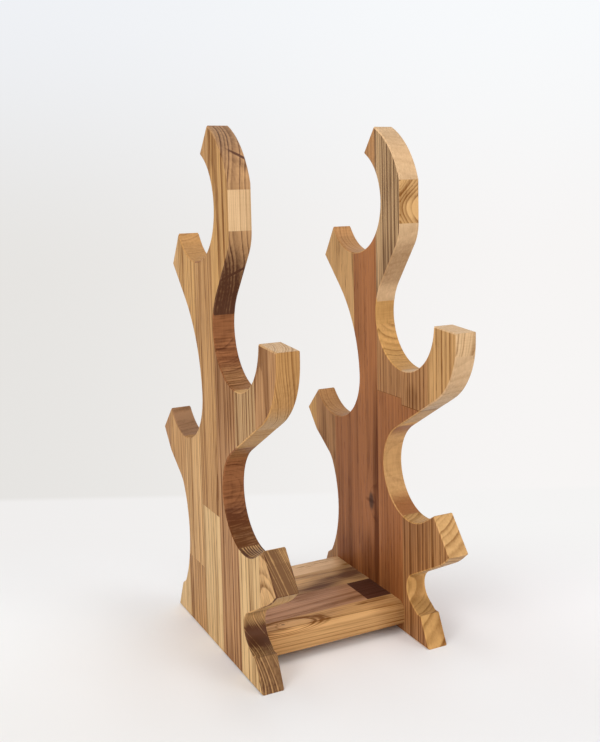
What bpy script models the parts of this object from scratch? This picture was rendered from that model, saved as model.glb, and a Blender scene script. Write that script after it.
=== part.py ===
"""Tabletop wine rack: two wavy side panels glued up from staves, joined by a low shelf on blind dowels.

X runs from the left panel to the right one, -Y is the front and Z is up, in metres. The origin lies on
the table under the middle of the rack. Outlines are worked out with Y measured from the front toe, and
each board's origin then carries it to its place.
"""
from collections import namedtuple
from math import asin, atan2, ceil, cos, hypot, pi, radians, sin, sqrt

import bmesh
import bpy

# Overall sizes
RACK_WIDTH = 0.180
BOARD_THICKNESS = 0.020
STAVE_WIDTH = 0.0415
BASE_DEPTH = 0.200

# Clearances that stand for the glue lines and for the fit of the joints
GLUE_LINE = 0.0003
SEAT_GAP = 0.0003
DOWEL_FIT = 0.0003
DOWEL_END_ROOM = 0.0010

# Sanded edges, and how finely the rounds are drawn
ARRIS = 0.0010
LEAST_STEP = 0.0002
ARC_STEP = radians(5.0)
NOSE_STEPS = 8
DOWEL_SIDES = 24
SMOOTH_ANGLE = radians(30.0)

# Feet: a raked toe, a small level ledge in front and a sloping one behind
TOE_HEIGHT = 0.0265
TOE_RAKE = 0.0125
FRONT_LEDGE = 0.0057
BACK_LEDGE_RISE = 0.0053

# Round hollow between the front foot and lip 4, placed from the inner end of the ledge
FOOT_HOLLOW_RADIUS = 0.0154
FOOT_HOLLOW_SET_BACK = 0.0011
FOOT_HOLLOW_RISE = 0.0191

# Cradles, numbered from the top down: 1 and 3 open to the back, 2 and 4 to the front
BACK_CRADLE_RADIUS = 0.0480
CRADLE_2_RADIUS = 0.0465
CRADLE_4_RADIUS = 0.0430
CRADLE_1_Y = 0.1222
CRADLE_2_Y = 0.0371
CRADLE_3_Y = 0.1641
CRADLE_4_Y = 0.0298
CRADLE_4_HEIGHT = 0.1516
CRADLE_3_RISE = 0.0740
CRADLE_2_RISE = 0.0645
CRADLE_1_RISE = 0.1016

# A mouth flares from its cradle in a short straight run that ends at the lip's inner corner
BACK_MOUTH_FLARE = 0.0060
MOUTH_2_FLARE = 0.0050
MOUTH_4_FLARE = 0.0180
HOOK_MOUTH_ANGLE = radians(114.0)
MOUTH_1_ANGLE = radians(-31.0)
MOUTH_2_ANGLE = radians(181.2)
MOUTH_3_ANGLE = radians(-36.6)
MOUTH_4_ANGLE = radians(215.1)

# Sawn faces at the ends of the lips and of the top hook, from the inner corner outwards
HOOK_FACE = 0.0294
HOOK_FACE_ANGLE = radians(128.5)
LIP_1_FACE = 0.0341
LIP_1_FACE_ANGLE = radians(-57.0)
LIP_2_FACE_DROP = 0.0022
LIP_3_FACE = 0.0325
LIP_3_FACE_ANGLE = radians(-44.4)
LIP_4_FACE = 0.0378
LIP_4_FACE_ANGLE = radians(231.5)

# Outer curves: bellies swell from the board and hollows are sawn into it. A run is the straight stretch
# beside a curve that joins it to the next one or to a corner.
LIP_4_BELLY_RADIUS = 0.0600
LIP_4_BELLY_END_RUN = 0.0090
LIP_4_BELLY_FOOT_RUN = 0.0467
LIP_2_FRONT = -0.0420
LIP_2_BELLY_RADIUS = 0.0600
LIP_2_BELLY_DROP = 0.0122
HOOK_BELLY_RADIUS = 0.0337
HOOK_BELLY_RUN = 0.0440
HOOK_FLAT_RISE = 0.0193
HOOK_CREST_BOW = 0.0069
WAIST_RADIUS = 0.1225
WAIST_RUN = 0.0417
LIP_3_BELLY_RADIUS = 0.0160
LIP_3_BELLY_RUN = 0.0251
LIP_3_BELLY_ANGLE = radians(196.8)
REAR_FILLET_RADIUS = 0.0240
REAR_FILLET_RUN = 0.0294
REAR_FILLET_ANGLE = radians(-93.1)
REAR_RADIUS = 0.0919
REAR_ANGLE = radians(-28.1)

# Butt joints between two lengths of one stave, by how far each is from the cradle or toe beside it
LEFT_POST_BUTT_DROP = 0.0276
LEFT_BACK_BUTT_RISE = 0.0375
RIGHT_LIP_BUTT_RISE = 0.0174
RIGHT_POST_BUTT_DROP = 0.0256

# Shelf between the panels
SHELF_FRONT = 0.0392
SHELF_DEPTH = 0.1284
SHELF_BOTTOM = 0.0085
SHELF_NOSE_RADIUS = 0.0080
SHELF_FRONT_STAVE = 0.0225
SHELF_STAVE_WIDTH = 0.0400
SHELF_OFFCUT = 0.0250

# Dowels between the shelf and the panels
DOWEL_DIAMETER = 0.0080
DOWEL_IN_PANEL = 0.0120
DOWEL_IN_SHELF = 0.0180
DOWEL_CHAMFER = 0.0010
DOWEL_INSET = 0.0130
DOWEL_COUNT = 3

# Finish of the oiled wood, from pale sapwood to brown heartwood, and of the hidden dowels
WOOD_ROUGHNESS = 0.42
WOOD_COLORS = {
    "wood_honey": (0.560, 0.340, 0.160),
    "wood_tan": (0.450, 0.250, 0.120),
    "wood_russet": (0.330, 0.160, 0.080),
    "wood_heart": (0.190, 0.085, 0.045),
    "dowel_beech": (0.600, 0.420, 0.260),
}
LEFT_TONES = ("wood_tan", "wood_honey", "wood_tan", "wood_tan", "wood_tan", "wood_honey", "wood_tan")
RIGHT_TONES = ("wood_honey", "wood_tan", "wood_tan", "wood_russet", "wood_russet", "wood_tan", "wood_honey")
SHELF_TONES = ("wood_honey", "wood_russet", "wood_heart", "wood_tan")

Round = namedtuple("Round", "y z radius")


def corner(y, z):
    """A sharp corner of the outline."""
    return Round(y, z, 0.0)


def hollow(middle, radius):
    """A round sawn into the board."""
    return Round(middle.y, middle.z, radius)


def belly(middle, radius):
    """A round that the board fills."""
    return Round(middle.y, middle.z, -radius)


def reach(start, distance, angle):
    """The place at a distance and direction from a round's middle or from a corner."""
    return corner(start.y + distance * cos(angle), start.z + distance * sin(angle))


def flared(cradle, flare, angle):
    """A lip's inner corner, at the end of a straight run that leaves the cradle."""
    return reach(cradle, hypot(cradle.radius, flare), angle)


def crossing(first, near, second, far):
    """The place at its own distance from each of two places, to the left on the way from the first."""
    step_y = second.y - first.y
    step_z = second.z - first.z
    base = hypot(step_y, step_z)
    along = (base * base + near * near - far * far) / (2.0 * base)
    aside = sqrt(near * near - along * along)
    heading = atan2(step_z, step_y)
    return reach(reach(first, along, heading), aside, heading + pi / 2.0)


def tangent(first, second):
    """Direction of the straight run that leaves one round and meets the next."""
    step_y = second.y - first.y
    step_z = second.z - first.z
    lean = (second.radius - first.radius) / hypot(step_y, step_z)
    return atan2(step_z, step_y) - asin(max(-1.0, min(1.0, lean)))


def touch(item, direction):
    """Point where a run of that direction touches the round."""
    return (item.y + item.radius * sin(direction), item.z - item.radius * cos(direction))


def arc(item, start, end):
    """Points round a hollow, turning left, or round a belly, turning right."""
    turn = (end - start) % (2.0 * pi)
    if item.radius < 0.0:
        turn -= 2.0 * pi
    if abs(turn) > 1.5 * pi:
        turn = 0.0
    steps = max(1, ceil(abs(turn) / ARC_STEP))
    return [touch(item, start + turn * index / steps) for index in range(steps + 1)]


def chain(rounds):
    """Points along a line drawn tight from the first corner, past each round, to the last corner."""
    runs = [tangent(first, second) for first, second in zip(rounds, rounds[1:])]
    points = [(rounds[0].y, rounds[0].z)]
    for index, item in enumerate(rounds[1:-1]):
        if item.radius == 0.0:
            points.append((item.y, item.z))
        else:
            points.extend(arc(item, runs[index], runs[index + 1]))
    points.append((rounds[-1].y, rounds[-1].z))
    return points


def bowed(start, end, bow):
    """Points between two corners on an arc whose middle stands off the straight line by the bow."""
    half = hypot(end.y - start.y, end.z - start.z) / 2.0
    radius = (half * half + bow * bow) / (2.0 * bow)
    half_turn = asin(half / radius)
    heading = atan2(end.z - start.z, end.y - start.y)
    chord_middle = corner((start.y + end.y) / 2.0, (start.z + end.z) / 2.0)
    middle = reach(chord_middle, radius - bow, heading - pi / 2.0)
    return arc(belly(middle, radius), heading + half_turn, heading - half_turn)


def without_doubles(points):
    """The closed outline without points that fall on the one before."""
    kept = []
    for point in points:
        if not kept or hypot(point[0] - kept[-1][0], point[1] - kept[-1][1]) > LEAST_STEP:
            kept.append(point)
    if hypot(kept[0][0] - kept[-1][0], kept[0][1] - kept[-1][1]) <= LEAST_STEP:
        kept.pop()
    return kept


def cradles():
    """The four cradles, each height counted from the one below it."""
    height_3 = CRADLE_4_HEIGHT + CRADLE_3_RISE
    height_2 = height_3 + CRADLE_2_RISE
    height_1 = height_2 + CRADLE_1_RISE
    return (
        Round(CRADLE_1_Y, height_1, BACK_CRADLE_RADIUS),
        Round(CRADLE_2_Y, height_2, CRADLE_2_RADIUS),
        Round(CRADLE_3_Y, height_3, BACK_CRADLE_RADIUS),
        Round(CRADLE_4_Y, CRADLE_4_HEIGHT, CRADLE_4_RADIUS),
    )


def hook_foot():
    """Top of the hook's flat front, which is the bare edge of the blank two staves behind lip 2."""
    cradle_1 = cradles()[0]
    return corner(LIP_2_FRONT + 2.0 * STAVE_WIDTH, cradle_1.z + HOOK_FLAT_RISE)


def front_outline():
    """Outline from the front toe up to the flat front of the top hook."""
    cradle_2 = cradles()[1]
    cradle_4 = cradles()[3]
    ledge_end = corner(TOE_RAKE + FRONT_LEDGE, TOE_HEIGHT)
    foot_hollow = corner(ledge_end.y + FOOT_HOLLOW_SET_BACK, ledge_end.z + FOOT_HOLLOW_RISE)
    mouth_4 = flared(cradle_4, MOUTH_4_FLARE, MOUTH_4_ANGLE)
    lip_4 = reach(mouth_4, LIP_4_FACE, LIP_4_FACE_ANGLE)
    under_lip_4 = crossing(lip_4, hypot(LIP_4_BELLY_RADIUS, LIP_4_BELLY_END_RUN),
                           foot_hollow, hypot(LIP_4_BELLY_RADIUS + FOOT_HOLLOW_RADIUS, LIP_4_BELLY_FOOT_RUN))
    under_lip_2 = corner(LIP_2_FRONT + LIP_2_BELLY_RADIUS, cradle_2.z - LIP_2_BELLY_DROP)
    mouth_2 = flared(cradle_2, MOUTH_2_FLARE, MOUTH_2_ANGLE)
    lip_2 = corner(LIP_2_FRONT, mouth_2.z - LIP_2_FACE_DROP)
    top = hook_foot()
    belly_y = top.y + HOOK_BELLY_RADIUS
    belly_reach = hypot(cradle_2.radius + HOOK_BELLY_RADIUS, HOOK_BELLY_RUN)
    hook_belly = corner(belly_y, cradle_2.z + sqrt(belly_reach ** 2 - (belly_y - cradle_2.y) ** 2))
    return chain([
        corner(0.0, 0.0),
        corner(TOE_RAKE, TOE_HEIGHT),
        ledge_end,
        hollow(foot_hollow, FOOT_HOLLOW_RADIUS),
        belly(under_lip_4, LIP_4_BELLY_RADIUS),
        lip_4,
        mouth_4,
        cradle_4,
        belly(under_lip_2, LIP_2_BELLY_RADIUS),
        lip_2,
        mouth_2,
        cradle_2,
        belly(hook_belly, HOOK_BELLY_RADIUS),
        top,
    ])


def hook_tip():
    """Inner and outer corner of the sawn face at the tip of the top hook."""
    mouth = flared(cradles()[0], BACK_MOUTH_FLARE, HOOK_MOUTH_ANGLE)
    return mouth, reach(mouth, HOOK_FACE, HOOK_FACE_ANGLE)


def back_outline():
    """Outline from the tip of the top hook down to the back toe."""
    cradle_1 = cradles()[0]
    cradle_3 = cradles()[2]
    mouth, tip = hook_tip()
    mouth_1 = flared(cradle_1, BACK_MOUTH_FLARE, MOUTH_1_ANGLE)
    lip_1 = reach(mouth_1, LIP_1_FACE, LIP_1_FACE_ANGLE)
    waist = crossing(lip_1, hypot(WAIST_RADIUS, WAIST_RUN), cradle_3, WAIST_RADIUS - BACK_CRADLE_RADIUS)
    mouth_3 = flared(cradle_3, BACK_MOUTH_FLARE, MOUTH_3_ANGLE)
    lip_3 = reach(mouth_3, LIP_3_FACE, LIP_3_FACE_ANGLE)
    under_lip_3 = reach(lip_3, hypot(LIP_3_BELLY_RADIUS, LIP_3_BELLY_RUN), LIP_3_BELLY_ANGLE)
    fillet = reach(under_lip_3, hypot(LIP_3_BELLY_RADIUS + REAR_FILLET_RADIUS, REAR_FILLET_RUN),
                   REAR_FILLET_ANGLE)
    rear = reach(fillet, REAR_RADIUS - REAR_FILLET_RADIUS, REAR_ANGLE)
    ledge_z = TOE_HEIGHT + BACK_LEDGE_RISE
    ledge_end = corner(rear.y - sqrt(REAR_RADIUS ** 2 - (rear.z - ledge_z) ** 2), ledge_z)
    return chain([
        tip,
        mouth,
        cradle_1,
        mouth_1,
        lip_1,
        hollow(waist, WAIST_RADIUS),
        cradle_3,
        mouth_3,
        lip_3,
        belly(under_lip_3, LIP_3_BELLY_RADIUS),
        hollow(fillet, REAR_FILLET_RADIUS),
        hollow(rear, REAR_RADIUS),
        ledge_end,
        corner(BASE_DEPTH - TOE_RAKE, TOE_HEIGHT),
        corner(BASE_DEPTH, 0.0),
    ])


def panel_outline():
    """Closed outline of a side panel, up the front, over the top hook and down the back."""
    crest = bowed(hook_foot(), hook_tip()[1], HOOK_CREST_BOW)
    return without_doubles(front_outline() + crest + back_outline())


def shelf_outline():
    """Closed outline of the shelf's section: a rounded upper front edge and three eased ones."""
    top = SHELF_BOTTOM + BOARD_THICKNESS
    back = SHELF_FRONT + SHELF_DEPTH
    nose = Round(SHELF_FRONT + SHELF_NOSE_RADIUS, top - SHELF_NOSE_RADIUS, -SHELF_NOSE_RADIUS)
    quarter = [touch(nose, pi / 2.0 * (1.0 - index / NOSE_STEPS)) for index in range(NOSE_STEPS + 1)]
    return [
        (SHELF_FRONT + ARRIS, SHELF_BOTTOM),
        (SHELF_FRONT, SHELF_BOTTOM + ARRIS),
        *quarter,
        (back - ARRIS, top),
        (back, top - ARRIS),
        (back, SHELF_BOTTOM + ARRIS),
        (back - ARRIS, SHELF_BOTTOM),
    ]


def board(outline, thickness):
    """A board of that thickness cut to the outline, with its near face at X zero."""
    form = bmesh.new()
    near = [form.verts.new((0.0, y, z)) for y, z in outline]
    far = [form.verts.new((thickness, y, z)) for y, z in outline]
    form.faces.new(near)
    form.faces.new(far)
    for index, vert in enumerate(near):
        form.faces.new((near[index - 1], far[index - 1], far[index], vert))
    bmesh.ops.recalc_face_normals(form, faces=form.faces[:])
    return form


def ease_rims(form):
    """Take the arris off both rims of a board."""
    rims = [edge for edge in form.edges if edge.verts[0].co.x == edge.verts[1].co.x]
    bmesh.ops.bevel(form, geom=rims, offset=ARRIS, offset_type="OFFSET", segments=1, profile=0.5,
                    affect="EDGES")


def saw(form, axis, height, keep_above):
    """Saw the form square to an axis, keep one side of the cut and close the sawn faces."""
    point = [0.0, 0.0, 0.0]
    point[axis] = height
    normal = [0.0, 0.0, 0.0]
    normal[axis] = 1.0
    everything = form.verts[:] + form.edges[:] + form.faces[:]
    bmesh.ops.bisect_plane(form, geom=everything, dist=0.0, plane_co=point, plane_no=normal,
                           clear_outer=not keep_above, clear_inner=keep_above)
    open_edges = [edge for edge in form.edges if edge.is_boundary]
    bmesh.ops.holes_fill(form, edges=open_edges, sides=0)
    bmesh.ops.recalc_face_normals(form, faces=form.faces[:])


def lengths(form, axis, places):
    """The form sawn at each place, in order, with a glue line taken out of each cut."""
    pieces = []
    for index in range(len(places) + 1):
        piece = form.copy()
        if index > 0:
            saw(piece, axis, places[index - 1] + GLUE_LINE / 2.0, True)
        if index < len(places):
            saw(piece, axis, places[index] - GLUE_LINE / 2.0, False)
        pieces.append(piece)
    return pieces


def joined_faces(start):
    """All the faces that hang together with the first one."""
    group = {start}
    rim = [start]
    while rim:
        face = rim.pop()
        for edge in face.edges:
            for other in edge.link_faces:
                if other not in group:
                    group.add(other)
                    rim.append(other)
    return group


def loose_pieces(form):
    """Corners and faces of each separate piece in the form, the highest piece first."""
    form.verts.index_update()
    form.faces.index_update()
    pieces = []
    seen = set()
    for face in form.faces:
        if face in seen:
            continue
        group = joined_faces(face)
        seen |= group
        faces = sorted(group, key=lambda item: item.index)
        verts = sorted({vert for item in faces for vert in item.verts}, key=lambda vert: vert.index)
        order = {vert: index for index, vert in enumerate(verts)}
        corners = [tuple(vert.co) for vert in verts]
        pieces.append((corners, [[order[vert] for vert in item.verts] for item in faces]))
    return sorted(pieces, key=lambda piece: max(point[2] for point in piece[0]), reverse=True)


def finish(name):
    """The oiled finish of one tone of wood, or the bare wood of the dowels."""
    material = bpy.data.materials.get(name) or bpy.data.materials.new(name)
    material.use_nodes = True
    shader = material.node_tree.nodes["Principled BSDF"]
    shader.inputs["Base Color"].default_value = (*WOOD_COLORS[name], 1.0)
    shader.inputs["Roughness"].default_value = WOOD_ROUGHNESS
    shader.inputs["Metallic"].default_value = 0.0
    return material


def place(name, corners, faces, origin, tone):
    """Put a piece in the scene at its board's origin, with its finish."""
    mesh = bpy.data.meshes.new(name)
    mesh.from_pydata(corners, [], faces)
    mesh.materials.append(finish(tone))
    mesh.shade_smooth()
    mesh.set_sharp_from_angle(angle=SMOOTH_ANGLE)
    item = bpy.data.objects.new(name, mesh)
    item.location = origin
    bpy.context.collection.objects.link(item)
    return item


def staves(name, form, origin, glue_lines, butt_axis, butts, tones):
    """Saw a board into its staves, and the staves that have a butt joint into two lengths each."""
    made = []
    for column, stave in enumerate(lengths(form, 1, glue_lines), start=1):
        tone = tones[(column - 1) % len(tones)]
        cuts = [butts[column]] if column in butts else []
        parts = reversed(lengths(stave, butt_axis, cuts))
        pieces = [piece for part in parts for piece in loose_pieces(part)]
        for number, (corners, faces) in enumerate(pieces, start=1):
            made.append(place(f"{name}_stave_{column}_{number}", corners, faces, origin, tone))
    return made


def panel(name, x, y, tones, butts):
    """A side panel: the same board for both sides, with its own run of staves."""
    outline = panel_outline()
    form = board(outline, BOARD_THICKNESS)
    ease_rims(form)
    depth = max(point[0] for point in outline) - LIP_2_FRONT
    glue_lines = [LIP_2_FRONT + STAVE_WIDTH * number for number in range(1, ceil(depth / STAVE_WIDTH))]
    return staves(name, form, (x, y, 0.0), glue_lines, 2, butts, tones)


def shelf(x, y):
    """The low shelf between the panels, with a short offcut let into its second stave."""
    length = RACK_WIDTH - 2.0 * (BOARD_THICKNESS + SEAT_GAP)
    form = board(shelf_outline(), length)
    first = SHELF_FRONT + SHELF_FRONT_STAVE
    count = ceil((SHELF_DEPTH - SHELF_FRONT_STAVE) / SHELF_STAVE_WIDTH)
    glue_lines = [first + SHELF_STAVE_WIDTH * number for number in range(count)]
    return staves("shelf", form, (x, y, 0.0), glue_lines, 0, {2: length - SHELF_OFFCUT}, SHELF_TONES)


def turned(rings):
    """Corners and faces of a round rod along X, from the place and radius of each ring."""
    corners = []
    for x, radius in rings:
        for side in range(DOWEL_SIDES):
            turn = 2.0 * pi * side / DOWEL_SIDES
            corners.append((x, radius * cos(turn), radius * sin(turn)))
    faces = [list(reversed(range(DOWEL_SIDES))), list(range(len(corners) - DOWEL_SIDES, len(corners)))]
    for ring in range(len(rings) - 1):
        low = ring * DOWEL_SIDES
        for side in range(DOWEL_SIDES):
            other = (side + 1) % DOWEL_SIDES
            faces.append([low + side, low + other, low + DOWEL_SIDES + other, low + DOWEL_SIDES + side])
    return corners, faces


def bore(target, cutter):
    """Drill the cutter's hole in a stave that it meets."""
    for axis in range(3):
        target_sides = [target.location[axis] + vert.co[axis] for vert in target.data.vertices]
        cutter_sides = [cutter.location[axis] + vert.co[axis] for vert in cutter.data.vertices]
        if min(target_sides) >= max(cutter_sides) or max(target_sides) <= min(cutter_sides):
            return
    drill = target.modifiers.new(cutter.name, "BOOLEAN")
    drill.operation = "DIFFERENCE"
    drill.solver = "EXACT"
    drill.object = cutter


def dowels(name, seat, shelf_side, y, targets):
    """The dowels between one panel's inner face, at the seat, and the end of the shelf."""
    radius = DOWEL_DIAMETER / 2.0
    panel_end = -shelf_side * DOWEL_IN_PANEL
    shelf_end = shelf_side * (SEAT_GAP + DOWEL_IN_SHELF)
    start, end = sorted((panel_end, shelf_end))
    rod = turned([(start, radius - DOWEL_CHAMFER), (start + DOWEL_CHAMFER, radius),
                  (end - DOWEL_CHAMFER, radius), (end, radius - DOWEL_CHAMFER)])
    hole = turned([(start - DOWEL_END_ROOM, radius + DOWEL_FIT), (end + DOWEL_END_ROOM, radius + DOWEL_FIT)])
    for number in range(DOWEL_COUNT):
        across = y + SHELF_FRONT + DOWEL_INSET + STAVE_WIDTH * number
        origin = (seat, across, SHELF_BOTTOM + BOARD_THICKNESS / 2.0)
        place(f"{name}_dowel_{number + 1}", *rod, origin, "dowel_beech")
        cutter = place(f"{name}_bore_{number + 1}", *hole, origin, "dowel_beech")
        cutter.hide_render = True
        cutter.display_type = "WIRE"
        for target in targets:
            bore(target, cutter)


def left_butts():
    """Heights of the left panel's butt joints, in the main post and in the back post."""
    cradle_4 = cradles()[3]
    return {4: cradle_4.z - LEFT_POST_BUTT_DROP, 5: TOE_HEIGHT + LEFT_BACK_BUTT_RISE}


def right_butts():
    """Heights of the right panel's butt joints, over cradle 4 and under cradle 2."""
    cradle_2 = cradles()[1]
    cradle_4 = cradles()[3]
    over_4 = cradle_4.z + cradle_4.radius + RIGHT_LIP_BUTT_RISE
    under_2 = cradle_2.z - cradle_2.radius - RIGHT_POST_BUTT_DROP
    return {2: over_4, 3: under_2}


def rack():
    """The whole rack, with its front-to-back middle over the origin."""
    depths = [point[0] for point in panel_outline()]
    y = -(min(depths) + max(depths)) / 2.0
    left_seat = BOARD_THICKNESS - RACK_WIDTH / 2.0
    right_seat = RACK_WIDTH / 2.0 - BOARD_THICKNESS
    left = panel("left", left_seat - BOARD_THICKNESS, y, LEFT_TONES, left_butts())
    right = panel("right", right_seat, y, RIGHT_TONES, right_butts())
    middle = shelf(left_seat + SEAT_GAP, y)
    dowels("left", left_seat, 1.0, y, left + middle)
    dowels("right", right_seat, -1.0, y, right + middle)


for item in list(bpy.data.objects):
    bpy.data.objects.remove(item, do_unlink=True)
rack()
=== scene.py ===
"""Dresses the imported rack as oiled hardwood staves, on a pale floor under soft light."""

from math import copysign, pi, radians

import bpy
import bmesh
from mathutils import Matrix, Vector


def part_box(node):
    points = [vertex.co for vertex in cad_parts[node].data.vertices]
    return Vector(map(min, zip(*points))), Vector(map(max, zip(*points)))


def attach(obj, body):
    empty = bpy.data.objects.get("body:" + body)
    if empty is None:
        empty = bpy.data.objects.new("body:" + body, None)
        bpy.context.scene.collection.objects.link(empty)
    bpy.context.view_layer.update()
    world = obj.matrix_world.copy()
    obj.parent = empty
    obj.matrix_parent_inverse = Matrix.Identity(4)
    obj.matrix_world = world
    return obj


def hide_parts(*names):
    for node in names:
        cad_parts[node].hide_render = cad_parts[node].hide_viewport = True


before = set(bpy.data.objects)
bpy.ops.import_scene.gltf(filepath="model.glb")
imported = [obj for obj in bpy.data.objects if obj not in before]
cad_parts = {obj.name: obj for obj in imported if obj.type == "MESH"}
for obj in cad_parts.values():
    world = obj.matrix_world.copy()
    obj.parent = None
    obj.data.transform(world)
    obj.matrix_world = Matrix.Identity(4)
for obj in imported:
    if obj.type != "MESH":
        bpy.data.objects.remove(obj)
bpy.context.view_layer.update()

# Axes, directions along them and a quarter turn
X, Y, Z = 0, 1, 2
ALONG_X = (1.0, 0.0, 0.0)
ALONG_Z = (0.0, 0.0, 1.0)
QUARTER_TURN = pi / 2.0

# Joints between the staves, in metres
GLUE_LINE = 0.0003
GLUE_REACH = 0.0002
GLUE_LEFT = 0.00001
SEAT_REACH = 0.0004
SAME_PLACE = 0.00001
PLACE_DIGITS = 6
MERGE_DISTANCE = 0.000002
SHORTEST_EDGE = 0.00004
FLAT_ANGLE = radians(0.5)
LEAST_SQUARE = 0.3

# Arrises rounded by sanding, in metres; both rims of a dowel's bore stay sharp
RIM = 0.0013
ARRIS_EASE = 0.0004
ARRIS_STEPS = 2
ARRIS_LEAST_ANGLE = radians(28.0)
BORE_WALL_FACING = 0.1
BORED_FACE_FACING = 0.99
SMOOTH_ANGLE = radians(38.0)

# Camera: its place in metres, its lens in millimetres
CAMERA_PLACE = (-0.38196, -0.76657, 0.40987)
CAMERA_YAW = radians(-26.29)
CAMERA_PITCH = radians(-7.10)
CAMERA_ROLL = radians(-1.24)
CAMERA_LENS = 46.885
CAMERA_SHIFT = -0.0909

# Stage, in metres: HEADING and ACROSS lie along and across the view on the floor
FLOOR_SIZE = 16.0
HEADING = (0.4429, 0.8966, 0.0)
ACROSS = (0.8966, -0.4429, 0.0)
PAINT_SPAN = (-0.20, 0.06)
FADE_SPAN = (0.02, 0.26)
SWEEP_SPAN = (0.375, 0.400)
FAR_SPAN = (0.80, 1.60)

# Backdrop: how far aside and how far up a direction points where its tones begin and end
SIDE_SPAN = (-0.34, 0.26)
RISE_SPAN = (-0.10, 0.20)

# Light: each lamp's name, place, size in metres and power in watts
SKY_STRENGTH = 0.46
LAMPS = (
    ("top_softbox", (0.00, -0.15, 1.60), 1.30, 9.5),
    ("front_left_softbox", (-1.55, -0.90, 0.95), 1.20, 13.5),
    ("front_right_softbox", (1.00, -1.60, 1.00), 1.10, 8.5),
)
LAMP_TARGET = (0.0, 0.0, 0.20)

# The curve of a screen's tones
SCREEN_WHITE = 255.0
CURVE_KNEE = 0.04045
CURVE_SLOPE = 12.92
CURVE_OFFSET = 0.055
CURVE_POWER = 2.4

# A wood's plain colour and its growth lines, as shares of the red, green and blue it shows as a whole
PLAIN_SHARES = (1.10, 1.085, 1.06)
LINE_SHARES = (0.66, 0.53, 0.34)


def linear(share):
    """The light that a screen value from 0 to 1 stands for."""
    if share < CURVE_KNEE:
        return share / CURVE_SLOPE
    return ((share + CURVE_OFFSET) / (1.0 + CURVE_OFFSET)) ** CURVE_POWER


def tone(*levels):
    """A colour given as it looks on a screen, from 0 to 255, as the linear colour a shader mixes."""
    return (*(linear(level / SCREEN_WHITE) for level in levels), 1.0)


def wood_tone(*levels):
    """A wood's plain colour and the darker one of its growth lines, from the colour it shows as a whole."""
    plain = [min(SCREEN_WHITE, level * share) for level, share in zip(levels, PLAIN_SHARES)]
    line = [level * share for level, share in zip(levels, LINE_SHARES)]
    return (tone(*plain), tone(*line))


# Tones of one hardwood, from sapwood to heartwood: the plain wood and its growth lines
# IVORY is pale sapwood, made paler still as painted light on the shelf's back stave
IVORY = wood_tone(220, 186, 146)
CREAM = wood_tone(211, 178, 138)
BLOND = wood_tone(208, 174, 124)
HONEY = wood_tone(202, 161, 109)
AMBER = wood_tone(198, 154, 96)
FLAX = wood_tone(196, 154, 104)
PEACH = wood_tone(203, 171, 134)
SAND = wood_tone(182, 146, 102)
BUFF = (tone(202, 165, 120), tone(112, 80, 52))
# Honey wood with a browner dark tone, used for painted shade on the shelf's third stave
SHADED_HONEY = (wood_tone(202, 163, 114)[0], tone(108, 72, 50))
TAN = wood_tone(186, 142, 90)
FAWN = wood_tone(178, 133, 88)
# DUSK's very dark line tone also serves the painted shade on the left hook's sawn front
DUSK = (wood_tone(188, 147, 104)[0], tone(88, 53, 34))
ROSE = wood_tone(166, 121, 88)
ROSY = wood_tone(180, 138, 107)
DRAB = wood_tone(148, 111, 80)
NUT = wood_tone(164, 118, 76)
COPPER = wood_tone(166, 110, 66)
RUSSET = wood_tone(140, 91, 57)
UMBER = wood_tone(112, 73, 47)
WALNUT = wood_tone(80, 47, 34)
BEECH = wood_tone(210, 178, 138)
# Dark late wood with paler lines, in which a mark above zero is the paler one
DEEP_LATE_WOOD = (tone(92, 55, 33), HONEY[0])
PORE_TINT = (0.64, 0.54, 0.42, 1.0)
WHITE = (1.0, 1.0, 1.0, 1.0)
KNOT_TONE = tone(70, 42, 28)

# Backdrop tones at the left and right of the picture, low down and high up
LEFT_LOW = tone(230, 228, 225)
LEFT_HIGH = tone(239, 241, 245)
RIGHT_LOW = tone(247, 245, 244)
RIGHT_HIGH = tone(248, 250, 252)
FLOOR_LEFT = tone(240, 238, 237)
FLOOR_RIGHT = tone(245, 244, 243)
NEAR_LEFT = tone(240, 239, 238)
NEAR_RIGHT = tone(240, 239, 239)
FAR_LEFT = tone(254, 254, 254)
FAR_RIGHT = tone(252, 251, 252)

# Marks on a panel are measured back from where the straight part of its foot begins, in metres
FOOT_FRONT = -0.0921
PANEL_MIDDLE = 0.080
SHORT_REACH = 0.018
EVERYWHERE = 10.0
SEAT_STRIPES = (-0.0868, -0.0843, -0.0819, -0.0796, -0.0772, -0.0750, -0.0727)

# The shelf's top, and its front arris measured back like the marks, in metres
SHELF_TOP = 0.0285
FRONT_EDGE = 0.0392

# The pith: how far it lies outside the panel, or under the shelf, and how far back from the stave's middle,
# in metres; the taper moves the rings in by that much for each metre along the grain
FLAT_PITH = (0.045, 0.004)
FLAT_TAPER = 0.030
QUARTER_PITH = (0.008, 0.060)
QUARTER_TAPER = 0.006


def flat(tones, **more):
    """How a stave with the pith behind its face looks: arched lines there, straight ones on its edges."""
    return {"tones": tones, "pith": FLAT_PITH, "taper": FLAT_TAPER, **more}


def quarter(tones, **more):
    """How a stave with the pith beside it looks: straight lines on its broad face."""
    return {"tones": tones, "pith": QUARTER_PITH, "taper": QUARTER_TAPER, **more}


def streak(back, height, half_width, half_height, amount, turn=0.0, side=0.0, through=EVERYWHERE):
    """A streak through a panel stave, paler below zero; a turned one slants across the sawn edge. A few of
    them are painted shade.
    """
    size = (through, half_width, half_height)
    return {"at": (side, FOOT_FRONT + back, height), "size": size, "turn": (0.0, turn, 0.0), "amount": amount}


def shelf_mark(x, back, half_length, half_width, amount, turn=0.0):
    """A streak or knot in the shelf's top, the streak turned on the board. Some of them are painted light and
    shade.
    """
    size = (half_length, half_width, EVERYWHERE)
    return {"at": (x, FOOT_FRONT + back, SHELF_TOP), "size": size, "turn": (0.0, 0.0, turn), "amount": amount}


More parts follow.
